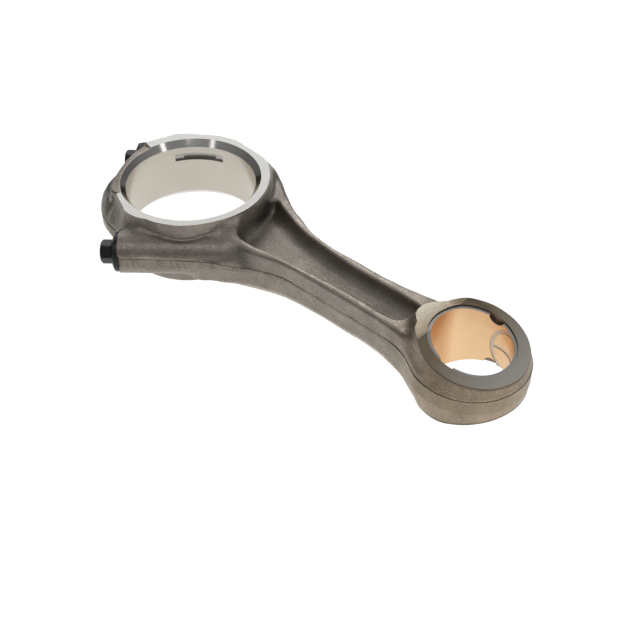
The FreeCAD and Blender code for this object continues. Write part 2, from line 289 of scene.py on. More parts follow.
# radius of the crank ring's outer edge at its machined face, by azimuth
RING_EDGE = [
    (0, 49.0), (40, 49.2), (60, 50.2), (66, 49.7), (78, 48.0), (90, 48.0), (99, 49.2), (114, 49.2),
    (128, 48.8), (139, 50.3), (147, 51.3), (156, 50.2), (165, 50.3), (172, 51.2), (180, 50.0), (190, 48.6),
    (202, 47.5), (212, 47.5), (220, 48.6), (228, 50.2), (234, 49.5), (240, 47.2), (246, 46.9), (252, 47.3),
    (258, 48.1), (264, 49.8), (270, 50.2), (276, 49.8), (283, 48.2), (294, 48.8), (308, 49.2), (326, 48.3),
    (338, 48.5),
]
# how far the eye's wall stands out towards the shank where the machined flat runs out
EYE_BULGE = [
    (135, 0.0), (145, -0.3), (155, -0.4), (162, 1.1), (171, 3.1), (178, 4.2), (185, 4.2), (192, 3.2),
    (199, 1.2), (202.5, 0.2), (207, 0.5), (214, 0.4), (222, -0.2), (230, -0.4), (240, -0.4), (250, 0.0),
]
# how steeply the crown's forged top falls outward from the bore
CROWN_FALL = [(165, 0.15), (180, 0.2), (205, 0.45), (222, 0.4), (236, 0.25), (246, 0.0)]


def plan_field(outline, x, y):
    """Distance to an outline in plan, the same at every height."""
    return plan_distance(outline, x[:, :, 0], y[:, :, 0])[:, :, None]


def shank_field(x, y, z, land, underside):
    """The shank with its leaning flanks and the recess between its rails."""
    top = plan_field(top_outline(underside), x, y)
    recess = plan_field(pocket_outline(), x, y)
    crest = SHANK_BOTTOM if underside else SHANK_TOP
    low = land_height(x)
    climb = np.clip((z - low) / (crest - low), 0, 1.3)
    # the flank leans from the land's edge to the crest's; above, it is hollower towards the shoulders
    hollow = 1.0 if underside else 1 - 0.45 * (1 - rise(x, 50, 100))
    flank = land + (top - land) * climb**hollow + land_proud(x)
    shank = smooth_max(flank, z - crest, SHANK_EDGE_BOTTOM if underside else SHANK_EDGE_TOP)
    run = x * ALONG[0] + y * ALONG[1]
    shank = np.maximum(shank, np.maximum(-run - 2.0, x - 204.0))
    pocket = smooth_max(recess + RECESS_DRAFT * (crest - z), WEB_HALF - z, RECESS_FILLET)
    return smooth_max(shank, -pocket, RECESS_EDGE)


def boss_field(x, y, z, underside):
    """The half-round bolt bosses, run out into the shoulders."""
    run = x * ALONG[0] + y * ALONG[1]
    across = x * ACROSS[0] + y * ACROSS[1]
    crest = BOSS_BOTTOM if underside else BOSS_TOP
    bosses = []
    for side, end in BOSS_ENDS.items():
        off = across - side * BOLT_OFFSET
        tube = (np.sqrt((off / BOSS_HALF_BREADTH) ** 2 + (z / crest) ** 2) - 1) * 12.0
        boss = smooth_max(tube, run - end, BOSS_RUN_OUT)
        bosses.append(smooth_max(boss, BOSS_START - run, BOSS_EDGE))
    return np.minimum(*bosses)


def crown_field(x, y, z):
    """The cap's rounded back, below the ring."""
    plan = plan_field(crown_outline(), x, y)
    back = plan + LAND_PROUD + np.clip(z - land_height(x), 0, None) * CROWN_DRAFT
    return smooth_max(back, z - CROWN_CREST, CROWN_EDGE)


def with_ring(body, x, y, z):
    """The body with the ring, whose foot is crisp over the split and filleted elsewhere."""
    radius = np.hypot(x, y)
    azimuth = np.degrees(np.arctan2(y, x)) % 360
    wall = round_the_ring(azimuth, RING_EDGE) + np.clip(HALF_WIDTH - z, 0, 9) * RING_DRAFT
    as_forged = rise(azimuth, *FORGED_FROM) * (1 - rise(azimuth, *FORGED_TO))
    fall = round_the_ring(azimuth, CROWN_FALL) * as_forged
    stock_top = HALF_WIDTH + FACE_STOCK
    ring_top = stock_top - as_forged * (stock_top - CROWN_TOP) - fall * np.clip(radius - CRANK_CHAMFER, 0, 7)
    ring = smooth_max(radius - wall, (z - ring_top) / np.sqrt(1 + fall * fall), RING_ROUND)
    from_split = np.minimum(*[np.abs(azimuth - split) for split in SPLIT_AZIMUTHS])
    from_shank = (azimuth + 180) % 360 - 180
    in_recess = rise(from_shank, -14, 20) * (1 - rise(from_shank, 45, 65))
    foot = 1.2 + 8.8 * rise(from_split, 14, 32) - 5.0 * as_forged - 6.5 * in_recess
    body = smooth_min(body, ring, foot)

    # a crease at the foot over the split, whose ends turn up
    around, height, size = CREASE
    ends_up = 2.2 * np.clip(from_split / 17, 0, 1.2) ** 2
    crease = np.hypot(radius - around, z - height - ends_up) - size + 2.7 * rise(from_split, 14, 23)
    body = smooth_max(body, -crease, 0.9)

    # a wider valley behind the crown
    around, height, size = CROWN_VALLEY
    off_crown = np.abs(azimuth - 210)
    valley = np.hypot(radius - around, (z - height) * 0.9) - size + 4.0 * rise(off_crown, 22, 38)
    return smooth_max(body, -valley, 2.0)


def with_eye(body, x, y, z, underside):
    """The body with the eye: a drafted cone, nearly straight below on the near side, that bulges towards the
    shank."""
    azimuth = np.degrees(np.arctan2(y, x - EYE_X)) % 360
    bulge = round_the_ring(azimuth, EYE_BULGE) * rise(z, 6, 15)
    draft = 0.05 + 0.18 * rise(-np.abs(azimuth - 225), -62, -25) if underside else EYE_DRAFT
    wall = EYE_FORGED_RAD - draft * np.clip(z - LAND_AT_ENDS, 0, None) + bulge - LAND_PROUD
    radius = np.hypot(x - EYE_FORGED[0], y - EYE_FORGED[1])
    eye = np.maximum(radius - wall, z - HALF_WIDTH - FACE_STOCK)
    towards_shank = rise(-np.abs(azimuth - 190), -40, -18)
    return smooth_min(body, eye, EYE_FILLET_BOTTOM if underside else EYE_FILLET_TOP + 5.0 * towards_shank)


def forging_field(x, y, z, underside=False):
    """Distance field of the rod and cap in one forging, before machining, on one side of the parting plane;
    z is the distance from that plane."""
    land = plan_field(land_outline(), x, y)
    body = shank_field(x, y, z, land, underside)
    body = smooth_min(body, boss_field(x, y, z, underside), BOSS_FILLET)
    body = smooth_min(body, crown_field(x, y, z), CROWN_FILLET)
    body = with_ring(body, x, y, z)
    body = with_eye(body, x, y, z, underside)
    return np.maximum(body, land + land_proud(x))


def waviness(x, y, z, seed=7, waves=18, size=0.09):
    """Slow unevenness of a forged skin, as a sum of seeded waves."""
    rng = np.random.default_rng(seed)
    total = np.zeros(np.broadcast(x, y, z).shape, np.float32)
    for _ in range(waves):
        direction = rng.normal(size=3)
        direction *= 2 * math.pi / rng.uniform(9, 30) / np.linalg.norm(direction)
        phase = direction[0] * x + direction[1] * y + direction[2] * z + rng.uniform(0, 6.3)
        total += np.sin(phase).astype(np.float32)
    return total * size / math.sqrt(waves)


def surface_nets(field, corner, step):
    """Vertices and quads of a sampled field's zero surface, one vertex in each cell that it crosses."""
    inside = field < 0
    count = sum(
        inside[i : i - 1 or None, j : j - 1 or None, k : k - 1 or None].astype(np.int8)
        for i in (0, 1)
        for j in (0, 1)
        for k in (0, 1)
    )
    active = (count > 0) & (count < 8)
    cells = np.argwhere(active)
    number = np.full(active.shape, -1, np.int32)
    number[active] = np.arange(len(cells))
    place = np.zeros((len(cells), 3))
    crossings = np.zeros((len(cells), 1))
    for axis in range(3):
        for u in (0, 1):
            for v in (0, 1):
                start = np.insert([u, v], axis, 0)
                one = np.eye(3, dtype=int)[axis]
                a = field[tuple((cells + start).T)]
                b = field[tuple((cells + start + one).T)]
                hit = (a < 0) != (b < 0)
                share = np.where(hit, a / np.where(hit, a - b, 1), 0)
                place += np.where(hit[:, None], start + share[:, None] * one, 0)
                crossings += hit[:, None]
    vertices = corner + (cells + place / crossings) * step
    quads = []
    for axis in range(3):
        u, v = [a for a in range(3) if a != axis]
        ahead = np.moveaxis(inside, axis, 0)
        change = np.argwhere(ahead[:-1] != ahead[1:])
        edges = np.empty_like(change)
        edges[:, axis], edges[:, u], edges[:, v] = change.T
        low = inside[tuple(edges.T)]
        ring = []
        for du, dv in ((-1, -1), (0, -1), (0, 0), (-1, 0)):
            cell = edges.copy()
            cell[:, u] += du
            cell[:, v] += dv
            ring.append(number[tuple(cell.T)])
        quad = np.stack(ring, 1)
        turn = low if axis != 1 else ~low
        quad[~turn] = quad[~turn][:, ::-1]
        quads.append(quad)
    return vertices, np.concatenate(quads)


# ---------------------------------------------------------------- meshes
SKINS = [
    "forged", "land", "ring_face", "crank_bore", "chamfer", "eye_flat", "eye_taper", "eye_bore", "seat",
    "drilled", "fracture", "slot_wall",
]


def make_object(name, vertices, faces, skins="forged"):
    """A mesh object from points in millimetres; skins is one finish or one for each face."""
    mesh = bpy.data.meshes.new(name)
    vertices = np.asarray(vertices, float) * MM
    if isinstance(faces, np.ndarray):
        corners = faces.shape[1]
        mesh.vertices.add(len(vertices))
        mesh.vertices.foreach_set("co", vertices.ravel())
        mesh.loops.add(faces.size)
        mesh.loops.foreach_set("vertex_index", faces.ravel().astype(np.int32))
        mesh.polygons.add(len(faces))
        mesh.polygons.foreach_set("loop_start", np.arange(len(faces), dtype=np.int32) * corners)
        mesh.update(calc_edges=True)
    else:
        mesh.from_pydata([tuple(v) for v in vertices], [], faces)
    for skin in SKINS:
        mesh.materials.append(materials[skin])
    if isinstance(skins, str):
        skins = [skins] * len(mesh.polygons)
    mesh.polygons.foreach_set("material_index", [SKINS.index(s) for s in skins])
    thing = bpy.data.objects.new(name, mesh)
    bpy.context.scene.collection.objects.link(thing)
    return thing


def boolean(thing, tool, operation, keep_tool=False):
    """Applies a boolean and removes the tool."""
    modifier = thing.modifiers.new("cut", "BOOLEAN")
    modifier.object = tool
    modifier.operation = operation
    modifier.solver = "MANIFOLD"
    graph = bpy.context.evaluated_depsgraph_get()
    result = bpy.data.meshes.new_from_object(thing.evaluated_get(graph))
    thing.modifiers.clear()
    old = thing.data
    thing.data = result
    bpy.data.meshes.remove(old)
    if not keep_tool:
        mesh = tool.data
        bpy.data.objects.remove(tool)
        bpy.data.meshes.remove(mesh)
    return thing


def cut(thing, tool):
    """Takes a tool out of a thing."""
    boolean(thing, tool, "DIFFERENCE")


def turned(name, profile, skins, centre=(0, 0), segments=192):
    """A solid of revolution about a vertical axis, from (radius, height) points that start and end on it.
    Each band between two points has its own finish."""
    angles = np.arange(segments) * 2 * math.pi / segments
    vertices = [(centre[0], centre[1], profile[0][1])]
    for radius, height in profile[1:-1]:
        for a in angles:
            vertices.append((centre[0] + radius * math.cos(a), centre[1] + radius * math.sin(a), height))
    vertices.append((centre[0], centre[1], profile[-1][1]))
    faces, finish = [], []
    last = len(vertices) - 1
    rows = len(profile) - 2
    for i in range(segments):
        j = (i + 1) % segments
        faces.append((0, 1 + j, 1 + i))
        finish.append(skins[0])
        for row in range(rows - 1):
            a, b = 1 + row * segments, 1 + (row + 1) * segments
            faces.append((a + i, a + j, b + j, b + i))
            finish.append(skins[row + 1])
        top = 1 + (rows - 1) * segments
        faces.append((top + i, top + j, last))
        finish.append(skins[-1])
    return make_object(name, vertices, faces, finish)


def band_faces(a, b, count):
    """Quads between two closed rows of points, whose first points are a and b."""
    return [(a + i, a + (i + 1) % count, b + (i + 1) % count, b + i) for i in range(count)]


def prism(name, outline, low, high, skin):
    """A straight prism over a plan outline, given anticlockwise."""
    count = len(outline)
    vertices = [(x, y, low) for x, y in outline] + [(x, y, high) for x, y in outline]
    faces = [tuple(reversed(range(count))), tuple(range(count, 2 * count))]
    faces += band_faces(0, count, count)
    return make_object(name, vertices, faces, skin)


def wedge_prism(name, section, reach, skin):
    """A prism along Y over an (x, z) section, given anticlockwise seen from -Y."""
    count = len(section)
    vertices = [(x, -reach, z) for x, z in section] + [(x, reach, z) for x, z in section]
    faces = [tuple(range(count)), tuple(reversed(range(count, 2 * count)))]
    faces += [(i, count + i, count + (i + 1) % count, (i + 1) % count) for i in range(count)]
    return make_object(name, vertices, faces, skin)


def taper_cutter(top, half_breadth, skin):
    """What the eye's taper removes above a half height of top, from the start of the taper outward."""
    end = EYE_X + 50
    drop = top - TAPER_SLOPE * (end - TAPER_START)
    before, above = TAPER_START - 5, top + 8
    section = [(TAPER_START, top), (end, drop), (end, above), (before, above), (before, top + 3)]
    return wedge_prism("taper", section, half_breadth, skin)


def cut_at_face(thing, tool, below):
    """Cuts a tool made for the top face out of it, or mirrored out of the face below."""
    if below:
        tool.data.transform(Matrix.Scale(-1, 4, (0, 0, 1)))
        tool.data.flip_normals()
    cut(thing, tool)


def laid_at_bolt(thing, side):
    """Lays a thing built about +Z along the near (-1) or far (1) bolt, its origin at the bolt's seat."""
    x, y = row_xy(-SEAT_DEPTH, side * BOLT_OFFSET)
    lay = Matrix.Rotation(math.radians(90), 4, "Y")
    swing = Matrix.Rotation(math.radians(SPLIT_TURN), 4, "Z")
    thing.data.transform(Matrix.Translation((x * MM, y * MM, 0)) @ swing @ lay)
    return thing


def crisp(thing, degrees=32):
    """Smooth shading with sharp edges above an angle."""
    mesh = thing.data
    mesh.polygons.foreach_set("use_smooth", [True] * len(mesh.polygons))
    mesh.set_sharp_from_angle(angle=math.radians(degrees))


# ---------------------------------------------------------------- materials
def new_material(name):
    """A material with its node tree and shader."""
    material = bpy.data.materials.new(name)
    material.use_nodes = True
    tree = material.node_tree
    return material, tree, tree.nodes["Principled BSDF"]


def add_node(tree, kind, inputs=None, **settings):
    """A node with linked or constant inputs, and its settings."""
    node = tree.nodes.new(kind)
    for key, value in settings.items():
        setattr(node, key, value)
    for key, value in (inputs or {}).items():
        if isinstance(value, bpy.types.NodeSocket):
            tree.links.new(value, node.inputs[key])
        else:
            node.inputs[key].default_value = value
    return node


def noise(tree, vector, scale, detail, rough):
    """A noise texture's value."""
    return add_node(
        tree, "ShaderNodeTexNoise", {"Vector": vector, "Scale": scale, "Detail": detail, "Roughness": rough}
    ).outputs["Fac"]


def ramp(tree, factor, stops):
    """A colour ramp from (position, colour) stops."""
    node = add_node(tree, "ShaderNodeValToRGB", {"Fac": factor})
    elements = node.color_ramp.elements
    while len(elements) > len(stops):
        elements.remove(elements[-1])
    while len(elements) < len(stops):
        elements.new(1.0)
    for element, (position, colour) in zip(elements, stops):
        element.position = position
        element.color = (*colour, 1.0)
    return node.outputs["Color"]


def fade(tree, value, start, end, low=0.0, high=1.0):
    """Goes from low to high, and stays there, while the value goes from start to end."""
    inputs = {"Value": value, 1: start, 2: end, 3: low, 4: high}
    return add_node(tree, "ShaderNodeMapRange", inputs).outputs[0]


def calc(tree, operation, a, b=0.0, c=0.0):
    """One arithmetic node on sockets or numbers."""
    node = tree.nodes.new("ShaderNodeMath")
    node.operation = operation
    for socket, value in zip(node.inputs, (a, b, c)):
        if isinstance(value, bpy.types.NodeSocket):
            tree.links.new(value, socket)
        else:
            socket.default_value = value
    return node.outputs[0]


def mix_colour(tree, factor, a, b, blend="MIX"):
    """Blend of two colours, each a socket or a constant."""
    node = tree.nodes.new("ShaderNodeMix")
    node.data_type = "RGBA"
    node.blend_type = blend
    for key, value in ((0, factor), (6, a), (7, b)):
        if isinstance(value, bpy.types.NodeSocket):
            tree.links.new(value, node.inputs[key])
        else:
            node.inputs[key].default_value = (*value, 1.0) if isinstance(value, tuple) else value
    return node.outputs[2]


def bump(tree, height, strength, distance, normal=None):
    """A bumped normal, on top of another one if given."""
    inputs = {"Height": height, "Strength": strength, "Distance": distance}
    if normal is not None:
        inputs["Normal"] = normal
    return add_node(tree, "ShaderNodeBump", inputs).outputs["Normal"]


def coordinates(tree):
    """Object coordinates in millimetres."""
    place = add_node(tree, "ShaderNodeTexCoord").outputs["Object"]
    scale = (1 / MM,) * 3
    return add_node(tree, "ShaderNodeVectorMath", {0: place, 1: scale}, operation="MULTIPLY").outputs[0]


def stretched(tree, vector, scale):
    """Coordinates scaled differently along each axis."""
    return add_node(tree, "ShaderNodeMapping", {"Vector": vector, "Scale": scale}).outputs["Vector"]


def forged_material(name, dark, light, vertical=0.0):
    """Shot-blasted forged skin: speckled, mottled, slightly metallic. Vertical is how strong the marks of
    shearing are."""
    material, tree, shader = new_material(name)
    place = coordinates(tree)
    position = add_node(tree, "ShaderNodeSeparateXYZ", {"Vector": place}).outputs
    grain = noise(tree, place, 1.9, 3.0, 0.65)
    patches = noise(tree, place, 0.09, 3.0, 0.5)
    speck = noise(tree, place, 0.75, 2.0, 0.6)
    tone = calc(tree, "MULTIPLY_ADD", grain, 0.75, calc(tree, "MULTIPLY", patches, 0.25))
    if vertical:
        streaks = noise(tree, stretched(tree, place, (1.6, 1.6, 0.12)), 1.0, 3.0, 0.7)
        depth = fade(tree, position["X"], 95.0, 140.0, 1.0, 0.1)
        streaks = calc(tree, "MULTIPLY_ADD", calc(tree, "SUBTRACT", streaks, 0.5), depth, 0.5)
        tone = calc(tree, "MULTIPLY_ADD", calc(tree, "SUBTRACT", streaks, 0.5), vertical, tone)
    colour = ramp(tree, tone, [(0.36, dark), (0.64, light)])
    # Painted shade: the colour is darkened in hollows, creases and recesses, where ambient occlusion finds
    # them closed in.
    openness = add_node(tree, "ShaderNodeAmbientOcclusion", {"Distance": 0.02}, samples=6).outputs["AO"]
    hollow_shade = ramp(tree, openness, [(0.25, (0.50, 0.48, 0.47)), (0.8, (1.0, 1.0, 1.0))])
    colour = mix_colour(tree, 1.0, colour, hollow_shade, "MULTIPLY")
    on_crown = fade(tree, position["X"], -28.0, -40.0)
    # Painted shade on the cap's crown; the next call paints a highlight on the shank's crests and shade under
    # the eye's taper.
    if not vertical:
        colour = shade_painted_on_crown(tree, colour, position["Z"], on_crown)
    colour = painted_light_and_tints(tree, colour, position, on_crown)
    tree.links.new(colour, shader.inputs["Base Color"])
    shine = ramp(tree, speck, [(0.35, (0.33, 0.33, 0.33)), (0.7, (0.50, 0.50, 0.50))])
    tree.links.new(shine, shader.inputs["Roughness"])
    normal = bump(tree, grain, 0.35, 0.00025)
    normal = bump(tree, speck, 0.25, 0.0005, normal)
    if vertical:
        normal = bump(tree, streaks, 0.4, 0.0004, normal)
    tree.links.new(normal, shader.inputs["Normal"])
    shader.inputs["Metallic"].default_value = 0.85
    return material


def shade_painted_on_crown(tree, colour, height, on_crown):
    """Painted shade: a near-black band on the cap's crown between the land and the ring, where the crown's
    back lies in shade.
    """
    band = calc(tree, "MULTIPLY", on_crown, fade(tree, height, 15.5, 12.5))
    crown_shade = calc(tree, "MULTIPLY", band, calc(tree, "MULTIPLY", fade(tree, height, 2.5, 5.5), 0.95))
    return mix_colour(tree, crown_shade, colour, (0.02, 0.02, 0.02))


def painted_light_and_tints(tree, colour, position, on_crown):
    """Painted highlight on the shank's crests, painted shade in a rim under the eye's taper, and the tints of
    crown, shank and eye.
    """
    along_rod = position["X"]
    height = calc(tree, "ABSOLUTE", position["Z"])
    on_shank = calc(tree, "MULTIPLY", fade(tree, along_rod, 50.0, 75.0), fade(tree, along_rod, 184.0, 170.0))
    # Painted highlight: the crests of the shank's rails are made lighter.
    crest_highlight = calc(tree, "MULTIPLY", fade(tree, height, 11.0, 12.2), on_shank)
    colour = mix_colour(tree, crest_highlight, colour, mix_colour(tree, 1.0, colour, (1.75, 1.75, 1.75), "MULTIPLY"))
    # Painted shade: a darker band on the forged wall just under the edge of the eye's taper.
    taper = calc(tree, "MULTIPLY_ADD", along_rod, -TAPER_SLOPE, HALF_WIDTH + TAPER_SLOPE * TAPER_START)
    rim = fade(tree, calc(tree, "SUBTRACT", taper, height), 0.5, 1.7, 0.45, 1.0)
    colour = mix_colour(tree, 1.0, colour, rim, "MULTIPLY")
    above_land = fade(tree, position["Z"], 4.4, 6.0)
    eye_tint = mix_colour(tree, above_land, (1.10, 0.99, 0.84), (0.78, 0.69, 0.58))
    rod_tint = mix_colour(tree, on_crown, (0.90, 0.90, 0.90), (1.15, 1.15, 1.15))
    tint = mix_colour(tree, fade(tree, along_rod, 165.0, 200.0), rod_tint, eye_tint)
    return mix_colour(tree, 1.0, colour, tint, "MULTIPLY")


def machined_material(
    name, colour, roughness, grain_scale, spread=0.12, metallic=1.0, strength=0.1, tint=None
):
    """Cut or ground metal, with fine marks stretched as grain_scale says. A tint is a second colour and the
    two distances along the rod between which the first turns to it."""
    material, tree, shader = new_material(name)
    place = coordinates(tree)
    marks = noise(tree, stretched(tree, place, grain_scale), 1.0, 3.0, 0.6)
    cloud = noise(tree, place, 0.06, 2.0, 0.5)
    tone = calc(tree, "MULTIPLY_ADD", marks, 0.5, calc(tree, "MULTIPLY", cloud, 0.5))
    shade = ramp(tree, tone, [(0.35, (1 - spread,) * 3), (0.65, (1.0, 1.0, 1.0))])
    base = colour
    if tint:
        second, start, end = tint
        along_rod = add_node(tree, "ShaderNodeSeparateXYZ", {"Vector": place}).outputs["X"]
        base = mix_colour(tree, fade(tree, along_rod, start, end), colour, second)
    tree.links.new(mix_colour(tree, 1.0, shade, base, "MULTIPLY"), shader.inputs["Base Color"])
    shine = ramp(tree, marks, [(0.3, (roughness * 0.85,) * 3), (0.7, (roughness * 1.2,) * 3)])
    tree.links.new(shine, shader.inputs["Roughness"])
    tree.links.new(bump(tree, marks, strength, 0.0001), shader.inputs["Normal"])
    shader.inputs["Metallic"].default_value = metallic
    return material


materials = {
    "forged": forged_material("forged_skin", (0.165, 0.142, 0.120), (0.405, 0.362, 0.315)),
    "land": forged_material("trimmed_land", (0.15, 0.134, 0.108), (0.32, 0.29, 0.242), vertical=0.8),
    "ring_face": machined_material(
        "ground_face", (0.335, 0.33, 0.315), 0.26, (0.5, 2.5, 1.0), spread=0.06, strength=0.04
    ),
    "crank_bore": machined_material("honed_bore", (0.53, 0.50, 0.435), 0.24, (0.05, 0.05, 2.0), 0.05),
    "chamfer": machined_material("turned_chamfer", (0.56, 0.54, 0.535), 0.11, (0.05, 0.05, 3.0), 0.10),
    "eye_flat": machined_material(
        "eye_flat_face", (0.70, 0.64, 0.53), 0.2, (1.4, 0.2, 1.0), strength=0.03,
        tint=((0.50, 0.40, 0.275), 184.0, 195.0),
    ),
    "eye_taper": machined_material(
        "eye_taper_face", (0.175, 0.14, 0.095), 0.18, (1.4, 0.2, 1.0), spread=0.08, strength=0.03,
        tint=((0.32, 0.30, 0.27), 208.0, 243.0),
    ),
    "eye_bore": machined_material("eye_bore_wall", (0.22, 0.17, 0.13), 0.4, (0.05, 0.05, 2.0), 0.10),
    "seat": machined_material("bolt_seat", (0.42, 0.40, 0.38), 0.4, (1.0, 1.0, 1.0), 0.10),
    "drilled": machined_material("drilled_wall", (0.30, 0.29, 0.28), 0.4, (1.0, 1.0, 1.0), 0.15),
    "slot_wall": machined_material("milled_slot", (0.44, 0.42, 0.40), 0.3, (2.0, 2.0, 0.3)),
    "fracture": forged_material("fracture_face", (0.22, 0.215, 0.21), (0.55, 0.54, 0.53)),
    "bolt": machined_material(
        "black_oxide", (0.035, 0.035, 0.037), 0.36, (1.2, 1.2, 1.2), spread=0.35, metallic=0.75
    ),
    "backing": machined_material("bush_steel", (0.36, 0.355, 0.345), 0.3, (0.4, 0.4, 2.0), 0.10),
    # On the side towards the shank the bronze turns a deeper brown: a painted reflection.
    "lining": machined_material(
        "bush_bronze", (0.79, 0.54, 0.315), 0.34, (0.12, 0.12, 0.3), spread=0.05,
        tint=((0.55, 0.28, 0.11), 196.6, 192.8),
    ),
    "groove": machined_material("oil_groove", (0.60, 0.51, 0.41), 0.42, (0.8, 0.8, 0.8)),
}


# ---------------------------------------------------------------- the forging and its machining
def blank_forging():
    """The forging as one closed mesh, with the trimmed flash land standing proud of it."""
    return boolean(forged_body(), flash_land(), "UNION")


def forged_body():
    """The forging's fields sampled above and below the parting plane and meshed in one."""
    step = 0.75
    low = np.array([-72.0, -78.0, 0.0])
    high = np.array([256.0, 70.0, HALF_WIDTH + 3])
    x, y, z = np.meshgrid(*[np.arange(a, b, step) for a, b in zip(low, high)], indexing="ij", sparse=True)
    x, y = (x + 0 * y), (y + 0 * x)
    upper = forging_field(x, y, z).astype(np.float32)
    lower = forging_field(x, y, z, underside=True).astype(np.float32)
    field = np.concatenate([lower[:, :, :0:-1], upper], 2)
    heights = np.concatenate([-z[:, :, :0:-1], z], 2)
    field += waviness(x, y, heights)
    corner = np.array([low[0], low[1], heights.min()])
    vertices, quads = surface_nets(field, corner, step)
    return make_object("blank", vertices, quads)


def flash_land():
    """A band round the parting line, proud of the skin, with slightly uneven sheared edges."""
    outline = land_outline()
    ahead = np.roll(outline, -1, 0) - np.roll(outline, 1, 0)
    outward = np.stack([ahead[:, 1], -ahead[:, 0]], 1) / np.linalg.norm(ahead, axis=1)[:, None]
    rng = np.random.default_rng(11)
    uneven = np.convolve(rng.normal(size=len(outline) + 4), np.ones(5) / 5, "valid") * 0.16
    outer = outline + outward * land_proud(outline[:, :1]) * 0.3
    inner = outline - outward * 3.0
    half = land_height(outline[:, 0])
    upper_z, lower_z = half + uneven, -half + np.roll(uneven, 40)
    count = len(outline)
    rings = [(outer, lower_z), (outer, upper_z), (inner, upper_z), (inner, lower_z)]
    band = np.concatenate([np.column_stack([ring, z_row]) for ring, z_row in rings])
    faces = []
    for side in range(4):
        faces += band_faces(side * count, (side + 1) % 4 * count, count)
    return make_object("land", band, faces, "land")


def fracture_tool():
    """Everything on the cap's side of the split, its face slightly rough as fractured metal is."""
    step = 1.0
    beyond_crown = -80.0
    across = np.arange(-70, 70 + step, step)
    height = np.arange(-26, 26 + step, step)
    a, h = np.meshgrid(across, height, indexing="ij")
    rough = waviness(a, h, 0 * a, seed=3, waves=40, size=0.16)
    edge = np.stack([rough, a, h], 2).reshape(-1, 3)
    far = np.stack([np.full(a.shape, beyond_crown), a, h], 2).reshape(-1, 3)
    rows, columns = a.shape
    index = np.arange(rows * columns).reshape(rows, columns)
    quads = np.stack([index[:-1, :-1], index[1:, :-1], index[1:, 1:], index[:-1, 1:]], 2).reshape(-1, 4)
    back = quads[:, ::-1] + len(edge)
    rim = np.concatenate([index[:, 0], index[-1, 1:], index[-2::-1, -1], index[0, -2:0:-1]])
    rim_next = np.roll(rim, -1)
    wall = np.stack([rim_next, rim, rim + len(edge), rim_next + len(edge)], 1)
    points = np.concatenate([edge, far])
    row = points[:, :1] * ALONG + points[:, 1:2] * ACROSS
    faces = np.concatenate([quads, back, wall])
    return make_object("split", np.column_stack([row, points[:, 2]]), faces, "fracture")


def machine(blank):
    """Cuts the faces, bores, slot, seats and bolt holes into the blank."""
    cut_faces(blank)
    cut_bores(blank)
    cut_tang_slot(blank)
    for side in (-1, 1):
        cut_bolt_hole(blank, side)
    return blank


def cut_faces(blank):
    """Flat faces on the crank ring and the eye's near half, and the taper on the eye's far half."""
    high = HALF_WIDTH + 6
    ring = [(-80, -80), (120, -80), (120, 80), (-80, 80)]
    eye = [(140, -60), (TAPER_START, -60), (TAPER_START, 60), (140, 60)]
    for below in (False, True):
        cut_at_face(blank, prism("plate", ring, HALF_WIDTH, high, "ring_face"), below)
        cut_at_face(blank, prism("flat", eye, HALF_WIDTH, high, "eye_flat"), below)
        cut_at_face(blank, taper_cutter(HALF_WIDTH, 60, "eye_taper"), below)


def cut_bores(blank):
    """The crank bore with its chamfers, and the eye's bore."""
    beyond = HALF_WIDTH + 6
    slope = (CRANK_CHAMFER - CRANK_BORE) / CRANK_CHAMFER_DEPTH
    flare = CRANK_CHAMFER + slope * 6
    inner = HALF_WIDTH - CRANK_CHAMFER_DEPTH
    profile = [(0, -beyond), (flare, -beyond), (CRANK_BORE, -inner), (CRANK_BORE, inner), (flare, beyond)]
    profile.append((0, beyond))
    finish = ["chamfer", "chamfer", "crank_bore", "chamfer", "chamfer"]
    cut(blank, turned("crank", profile, finish, segments=256))
    profile = [(0, -beyond), (EYE_BORE, -beyond), (EYE_BORE, beyond), (0, beyond)]
    cut(blank, turned("eye", profile, ["eye_bore"] * 3, (EYE_X, 0), 192))


def cut_tang_slot(blank):
    """The slot for the shell's tang in the crank bore, deeper along its middle."""
    for start, end, bottom in ((106.6, 151.7, 42.0), (114.5, 143.3, 43.2)):
        rim = arc(0, bottom, start, end, 24)
        lip = arc(0, CRANK_BORE - 2.5, end, start, 24)
        cut(blank, prism("slot", rim + lip, SLOT_LOW, SLOT_HIGH, "slot_wall"))


def cut_bolt_hole(blank, side):
    """One bolt's seat in the cap, its clearance hole and its threaded hole in the rod."""
    corners = [(-60, 48), (-60, 75), (-SEAT_DEPTH, 75), (-SEAT_DEPTH, 48)]
    outline = [row_xy(run, side * across) for run, across in corners]
    if side > 0:
        outline.reverse()
    cut(blank, prism("seat", outline, -30, 30, "seat"))
    spot = [(0, -30), (SPOTFACE_RAD, -30), (SPOTFACE_RAD, 0), (0, 0)]
    spotface = turned("spot", spot, ["seat"] * 3, segments=96)
    cut(blank, laid_at_bolt(spotface, side))
    mouth = [(0, -10), (7.2, -10), (7.2, 0), (CLEARANCE_RAD, 1.4), (CLEARANCE_RAD, SEAT_DEPTH)]
    thread = [(THREADED_RAD, SEAT_DEPTH + 0.1), (THREADED_RAD, SEAT_DEPTH + 24), (0, SEAT_DEPTH + 27)]
    drill = turned("drill", mouth + thread, ["drilled"] * 7, segments=64)
    cut(blank, laid_at_bolt(drill, side))


def rod_and_cap():
    """The machined forging, broken in two at the split."""
    whole = machine(blank_forging())
    whole.name = "forged_rod"
    cap = whole.copy()
    cap.data = whole.data.copy()
    cap.name = "forged_cap"
    bpy.context.scene.collection.objects.link(cap)
    tool = fracture_tool()
    boolean(cap, tool, "INTERSECT", keep_tool=True)
    cut(whole, tool)
    for thing, body, node in ((whole, "rod", "rod_forging"), (cap, "cap", "bearing_cap")):
        crisp(thing)
        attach(thing, body)
        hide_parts(node)


